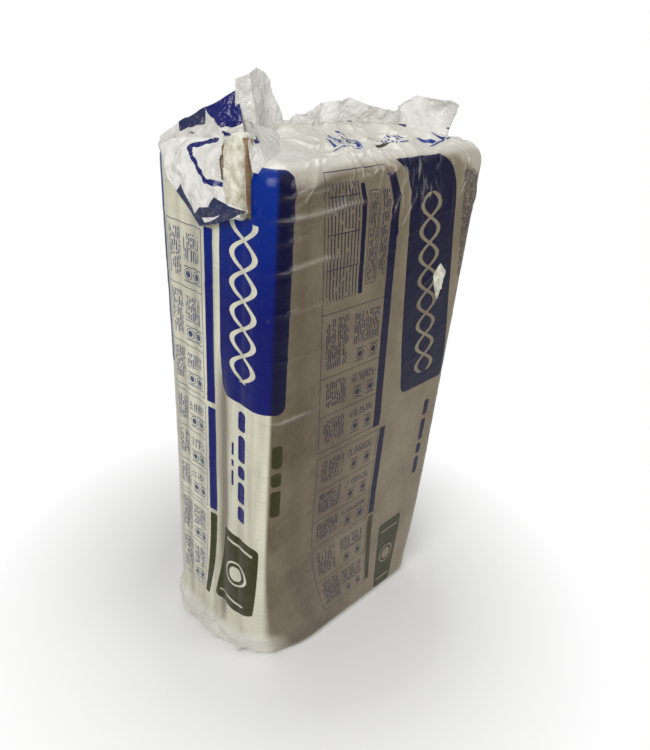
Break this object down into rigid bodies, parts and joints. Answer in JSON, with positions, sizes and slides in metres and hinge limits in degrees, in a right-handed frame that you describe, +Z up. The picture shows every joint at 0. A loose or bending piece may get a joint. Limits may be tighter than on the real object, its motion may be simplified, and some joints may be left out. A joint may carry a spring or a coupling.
{
  "type": "bagged bundle of kraft faced fiberglass batts",
  "caption": "Upright film bag packed with folded kraft faced fiberglass batts, torn open at the top of one side so that the wool shows.",
  "frame": {"origin": "middle of the bag's flat underside, on the floor", "axes": "+Z up, +X across the width of the batts, -Y out of the kraft face of the first batt"},
  "size_m": [0.6211, 0.3684, 1.2887],
  "materials": {
    "film": "glossy milky polyethylene film with a plain printed pattern",
    "wool": "off-white glass wool",
    "kraft": "brown kraft paper"
  },
  "bodies": {
    "root": {"bag_film": "film", "batt_1_wool": "wool", "batt_1_kraft": "kraft", "batt_2_wool": "wool", "batt_2_kraft": "kraft", "batt_3_wool": "wool", "batt_3_kraft": "kraft", "batt_4_wool": "wool", "batt_4_kraft": "kraft", "batt_5_wool": "wool", "batt_5_kraft": "kraft", "batt_6_wool": "wool", "batt_6_kraft": "kraft", "batt_7_wool": "wool", "batt_7_kraft": "kraft"}
  },
  "joints": []
}
